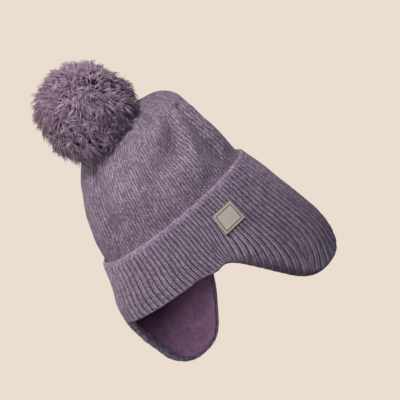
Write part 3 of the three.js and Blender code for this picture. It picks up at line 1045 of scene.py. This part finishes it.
ribFinish = {
    **heather,
    "name": "rib_heather",
    "ground": "#b09db4",
    "light": "#d2c2d3",
    "dark": "#37293a",
    "uneven": 0.4,
    "columns": 2.0,
    "strandEdges": (0.08, 0.4),
    "columnAt": 0.32,
    "holeAt": 0.5,
    "holeHalf": 0.07,
    "holes": 0.9,
    "fleck": 0.85,
    # painted shade in the rib valleys
    "valley": 0.85,
    "snag": {"turn": 0.1655, "height": -44.5, "radius": 1.1, "colour": "#33261a"},
    "roughness": 0.9,
    "sheen": 0.22,
}


def knitMaterial(spec):
    material, node = newMaterial(spec["name"])
    across, down = node("SeparateXYZ", [node("UVMap", uv_map="stitch")], out=None)[:2]
    hem, groove = node("SeparateXYZ", [node("UVMap", uv_map="shade")], out=None)[:2]
    place = node("TexCoord", out="Object")
    fromValley = node("Math", [across, 0.5], operation="PINGPONG")
    off = [node("Math", [fromValley, spec[at]], operation="SUBTRACT") for at in ("columnAt", "holeAt")]
    fromColumn, fromHole = (node("Math", [side], operation="ABSOLUTE") for side in off)
    # Each stitch is a V: its course line slants down toward the column's middle.
    slanted = node("Math", [fromColumn, spec["slant"], down], operation="MULTIPLY_ADD")
    inCourse = node("Math", [slanted, 0.5], operation="PINGPONG")
    strand = node("MapRange", [inCourse, *spec["strandEdges"], 0.0, 1.0], **soft)
    column = node("MapRange", [fromColumn, *spec["columnEdges"], 1.0, 0.0], **soft)
    # Small dark gaps beside the stitch columns, one to a course: painted shade.
    holeEdges = (0.5 * spec["holeHalf"], 1.5 * spec["holeHalf"])
    holeAcross = node("MapRange", [fromHole, *holeEdges, spec["holes"], 0.0], **soft)
    betweenCourses = node("Math", [down, 0.5], operation="PINGPONG")
    holeAlong = node("MapRange", [betweenCourses, *spec["holeAlong"], 0.0, 1.0], **soft)
    hole = node("Math", [holeAcross, holeAlong], operation="MULTIPLY")
    # One tone for each stitch, with flecks and clouds over it, and a painted highlight along each yarn's
    # middle.
    columnNumber = node("Math", [across, spec["columns"] * 2.0], operation="MULTIPLY")
    cell = [node("Math", [number], operation="FLOOR") for number in (columnNumber, slanted)]
    perStitch = node("TexWhiteNoise", [node("CombineXYZ", cell)], noise_dimensions="3D")
    fleck = node("TexNoise", {"Vector": place, **spec["fleckNoise"]})
    cloud = node("TexNoise", {"Vector": place, **spec["cloudNoise"]})
    tone = spec["plainTone"] - spec["uneven"] / 2
    weights = (spec["uneven"], *spec["toneWeights"].values())
    for part, weight in zip((perStitch, fleck, cloud, strand), weights):
        tone = node("Math", [part, weight, tone], operation="MULTIPLY_ADD")
    colour = threeTones(node, spec, tone, spec["fleck"])
    # Painted shade in the stitch gaps, in the rib valleys, along the cuff's hem and down the crown's folds.
    valley = node("MapRange", [groove, *spec["valleyEdges"], 0.0, spec["valley"]], **soft)
    paintedShade = node("Math", [hem, spec["paintedShade"]], operation="MULTIPLY")
    for share in (hole, valley, paintedShade):
        colour = node("Mix", {0: share, 6: colour, 7: linear(spec["dark"])}, **blend)
    if "snag" in spec:
        snag = spec["snag"]
        middle = toFrame(wallPoint(snag["turn"], snag["height"]))
        apart = node("VectorMath", [place, tuple(middle)], out="Value", operation="DISTANCE")
        reach = snag["radius"] / 1000
        spot = node("MapRange", [apart, 0.5 * reach, 1.3 * reach, 0.9, 0.0], **soft)
        colour = node("Mix", {0: spot, 6: colour, 7: linear(snag["colour"])}, **blend)
    raised = node("Math", [strand, column], operation="MULTIPLY")
    relief = spec["relief"]
    height = node("Math", [fleck, relief["fleck"]], operation="MULTIPLY")
    for part, weight in ((raised, relief["stitch"]), (hole, relief["hole"])):
        height = node("Math", [part, weight, height], operation="MULTIPLY_ADD")
    finishMaterial(node, colour, height, spec)
    return material


# Brushed polyester fleece: soft matt nap whose fibres lie in small swirls, with a strong sheen.
fleeceFinish = {
    "name": "brushed_fleece",
    "ground": "#c597bc",
    "light": "#d8b6d0",
    "dark": "#a1779a",
    "deep": "#47291f",  # painted brown shadow up inside the hat, under the rim
    "deepest": 0.92,
    "lightTones": (0.48, 0.72),
    "darkTones": (0.34, 0.52),
    "nap": {"Scale": 520.0, "Detail": 4.0, "Roughness": 0.7, "Distortion": 0.6},  # tufts of 2 mm
    "swirl": {"Scale": 90.0, "Detail": 3.0, "Roughness": 0.6, "Distortion": 0.8},  # 11 mm across
    "napShare": 0.55,
    "swirlRelief": 1.2,
    "roughness": 1.0,
    "ior": 1.5,
    "specular": 0.1,
    "sheen": 0.4,
    "sheenTint": "#b79abd",
    "bumpDepth": 0.5,
}


def fleeceMaterial(spec):
    material, node = newMaterial(spec["name"])
    place = node("TexCoord", out="Object")
    low = node("SeparateXYZ", [node("UVMap", uv_map="shade")], out=1)
    nap = node("TexNoise", {"Vector": place, **spec["nap"]})
    swirl = node("TexNoise", {"Vector": place, **spec["swirl"]})
    tone = node("Math", [swirl, 1 - spec["napShare"]], operation="MULTIPLY")
    tone = node("Math", [nap, spec["napShare"], tone], operation="MULTIPLY_ADD")
    colour = threeTones(node, spec, tone)
    # Painted shadow up inside the hat, under the rim.
    deep = node("MapRange", [low, 0.0, 1.0, spec["deepest"], 0.0])
    colour = node("Mix", {0: deep, 6: colour, 7: linear(spec["deep"])}, **blend)
    height = node("Math", [swirl, spec["swirlRelief"], nap], operation="MULTIPLY_ADD")
    finishMaterial(node, colour, height, spec)
    return material


# Loose acrylic and wool yarn, cut and fluffed, with painted shade toward the roots and a painted highlight
# on the tips.
yarnFinish = {
    "name": "cut_yarn",
    "ground": "#8d7288",
    "light": "#dfcdda",
    "dark": "#5a4155",
    # from, to, share at from, share at to; along a strand, or over the yarns' own tints
    "paleYarns": (0.35, 0.9, 0.0, 1.0),
    "paintedTipLight": (0.4, 0.95, 0.0, 0.75),
    "paintedRootShade": (0.3, 0.92, 0.66, 0.0),
    "darkYarns": (0.0, 0.4, 0.4, 0.0),
    "paleFuzz": (0.4, 0.75, 0.0, 0.25),
    "roughness": 0.85,
    "ior": 1.5,
    "specular": 0.3,
    "sheen": 0.35,
    "sheenTint": "#d8c8d2",
    "bumpDepth": 0.2,
    "fibre": {"Scale": 900.0, "Detail": 2.0, "Roughness": 0.6},  # fuzz of about 1 mm
}


def yarnMaterial(spec):
    material, node = newMaterial(spec["name"])
    ground, light, dark = linear(spec["ground"]), linear(spec["light"]), linear(spec["dark"])
    tint, along = node("SeparateXYZ", [node("UVMap", uv_map="yarn")], out=None)[:2]
    place = node("TexCoord", out="Object")
    fibre = node("TexNoise", {"Vector": place, **spec["fibre"]})
    paleYarn = node("MapRange", [tint, *spec["paleYarns"]], **soft)
    # Painted highlight on the tips of the paler yarns.
    tipLight = node("MapRange", [along, *spec["paintedTipLight"]], **soft)
    lighter = node("Math", [paleYarn, tipLight], operation="MULTIPLY")
    # Painted shade toward the roots, added to the darker yarns' own tone.
    rootShade = node("MapRange", [along, *spec["paintedRootShade"]], **soft)
    darkYarn = node("MapRange", [tint, *spec["darkYarns"]], **soft)
    darker = node("Math", [rootShade, darkYarn], operation="ADD", use_clamp=True)
    fuzz = node("MapRange", [fibre, *spec["paleFuzz"]], **soft)
    colour = ground
    for share, over in ((lighter, light), (darker, dark), (fuzz, light)):
        colour = node("Mix", {0: share, 6: colour, 7: over}, **blend)
    finishMaterial(node, colour, fibre, spec)
    return material


# The tied middle of the ball: the same yarn packed tight, in the shade of the cut ends.
coreFinish = {
    "name": "yarn_core",
    "ground": "#6b5566",
    "light": "#7d6577",
    "dark": "#4b3847",
    "roughness": 0.95,
    "ior": 1.5,
    "specular": 0.15,
    "sheen": 0.1,
    "sheenTint": "#8a7686",
    "bumpDepth": 1.5,
    "lightTones": (0.45, 0.7),
    "darkTones": (0.3, 0.45),
    "ends": {"Scale": 500.0, "Detail": 3.0, "Roughness": 0.7, "Distortion": 1.5},  # 2 mm yarn ends
}


def coreMaterial(spec):
    material, node = newMaterial(spec["name"])
    place = node("TexCoord", out="Object")
    ends = node("TexNoise", {"Vector": place, **spec["ends"]})
    colour = threeTones(node, spec, ends)
    finishMaterial(node, colour, ends, spec)
    return material


# Damask-woven polyester label: fine flat weave, a little satin, an inner panel in a paler thread
# and one plain border line.
labelFinish = {
    "name": "woven_damask",
    "ground": "#d8d0bb",
    "panel": "#e9e3d3",
    "line": "#5c4c30",
    "border": (9.35, 7.6, 16.5),  # half width, half length and cut corner of the line, in mm
    "lineWidth": 0.8,
    "thread": 0.32,  # coarser than real threads of about 0.1 mm, which would be too fine to see
    "worn": {"Scale": 0.14, "Detail": 2.0, "Roughness": 0.5},  # patches of 7 mm
    "roughness": 0.6,
    "ior": 1.5,
    "specular": 0.4,
    "sheen": 0.1,
    "sheenTint": "#e8e0cf",
    "bumpDepth": 0.12,
}


def labelMaterial(spec):
    material, node = newMaterial(spec["name"])
    halfWidth, halfLength, cut = spec["border"]
    place = node("UVMap", uv_map="place")
    right, up = node("SeparateXYZ", [place], out=None)[:2]
    fromMiddle = node("VectorMath", [place], operation="ABSOLUTE")
    outRight, outUp = node("SeparateXYZ", [fromMiddle], out=None)[:2]
    pastSide = node("Math", [outRight, halfWidth], operation="SUBTRACT")
    pastEnd = node("Math", [outUp, halfLength], operation="SUBTRACT")
    diagonal = node("Math", [outRight, outUp], operation="ADD")
    pastCorner = node("Math", [diagonal, 0.7071, -cut * 0.7071], operation="MULTIPLY_ADD")
    past = node("Math", [pastSide, pastEnd], operation="MAXIMUM")
    past = node("Math", [past, pastCorner], operation="MAXIMUM")
    fromLine = node("Math", [past], operation="ABSOLUTE")
    lineEdges = (0.3 * spec["lineWidth"], 0.7 * spec["lineWidth"])
    line = node("MapRange", [fromLine, *lineEdges, 0.9, 0.0], **soft)
    outside = node("MapRange", [past, -0.3, 0.3], **soft)
    size = math.pi / spec["thread"]
    slanted = node("Math", [right, up], operation="ADD")
    threads = []
    for way, pitch in ((slanted, size), (up, size * 2.0)):
        turned = node("Math", [way, pitch], operation="MULTIPLY")
        threads.append(node("Math", [turned], operation="SINE"))
    weave = node("Math", threads, operation="ADD")
    weave = node("Math", [weave, 0.5], operation="MULTIPLY")
    worn = node("TexNoise", {"Vector": place, **spec["worn"]})
    shaded = node("Math", [worn, 0.45], operation="MULTIPLY")
    shaded = node("Math", [weave, 0.1, shaded], operation="MULTIPLY_ADD")
    ground = linear(spec["ground"])
    colour = linear(spec["panel"])
    for share, over in ((outside, ground), (shaded, ground), (line, linear(spec["line"]))):
        colour = node("Mix", {0: share, 6: colour, 7: over}, **blend)
    height = node("Math", [line, -0.6, weave], operation="MULTIPLY_ADD")
    finishMaterial(node, colour, height, spec)
    return material


def paint(piece, material):
    piece.data.materials.clear()
    piece.data.materials.append(material)


paint(crownPiece, knitMaterial(crownFinish))
paint(cuffPiece, knitMaterial(ribFinish))
paint(liningPiece, fleeceMaterial(fleeceFinish))
yarn = yarnMaterial(yarnFinish)
paint(pompomPieces[0], yarn)
paint(pompomPieces[1], yarn)
paint(pompomPieces[2], coreMaterial(coreFinish))
paint(labelPiece, labelMaterial(labelFinish))
print("materials ready")


# Stage: plain pale floor, soft studio light.
stage = {
    "pale": "#ebddcf",
    "floorHeight": -0.42,
    "floorSize": 60.0,
    "skyColour": "#c8cee6",
    "skyStrength": 0.09,
}
lights = (
    # name, place, metres across, watts, colour, and for a spot its beam and aim
    ("top_right", (200, -700, 700), 0.16, 35.5, "#fdf9fa", 22.5, (19, 0, 60)),
    ("top_left", (-170, -700, 700), 0.4, 2.3, "#fff6ee", 30, (-40, 0, 40)),
    ("left", (-640, -540, 210), 0.5, 3.0, "#fff8f4"),
    ("front", (0, -950, 150), 0.7, 0.7, "#dfe6ff"),
    ("low_right", (640, -440, -290), 0.1, 3.6, "#fff1f2", 9, (-106, 22, -112)),
    ("back_right", (700, 550, 450), 0.8, 1.8, "#fff8f4"),
    ("back_left", (-500, 850, 350), 0.8, 4.8, "#fff8f4"),
)


def addStage(spec):
    bpy.ops.object.select_all(action="DESELECT")
    bpy.ops.mesh.primitive_plane_add(size=spec["floorSize"], location=(0, 0, spec["floorHeight"]))
    floor = bpy.context.active_object
    floor.name = "floor"
    material, node = newMaterial("pale_floor")
    glow = node("Emission", {"Color": linear(spec["pale"]), "Strength": 1.0})
    node("OutputMaterial", [glow])
    paint(floor, material)
    floor.visible_diffuse = False
    floor.visible_glossy = False
    world = bpy.data.worlds.new("studio")
    world.use_nodes = True
    world.node_tree.nodes.clear()
    node = partial(addNode, world.node_tree)
    seen = node("LightPath", out="Is Camera Ray")
    sky = node("Background", {"Color": linear(spec["skyColour"]), "Strength": spec["skyStrength"]})
    wall = node("Background", {"Color": linear(spec["pale"]), "Strength": 1.0})
    node("OutputWorld", [node("MixShader", [seen, sky, wall])])
    bpy.context.scene.world = world


def addLight(name, start, size, power, colour, beam=0, aim=(0, 0, 10)):
    data = bpy.data.lights.new(name, "SPOT" if beam else "AREA")
    if beam:
        data.spot_size = math.radians(beam)
        data.spot_blend = 1.0
        data.shadow_soft_size = size / 2
    else:
        data.shape = "DISK"
        data.size = size
    data.energy = power
    data.color = linear(colour)[:3]
    place = toFrame(np.array(start, float))
    back = unit(place - toFrame(np.array(aim, float)))
    side = unit(np.cross([0.0, 0.0, 1.0], back))
    addAt(name, data, place, [side, np.cross(back, side), back])


addStage(stage)
for light in lights:
    addLight(*light)
bpy.context.scene.view_settings.view_transform = "Standard"
print("stage ready")
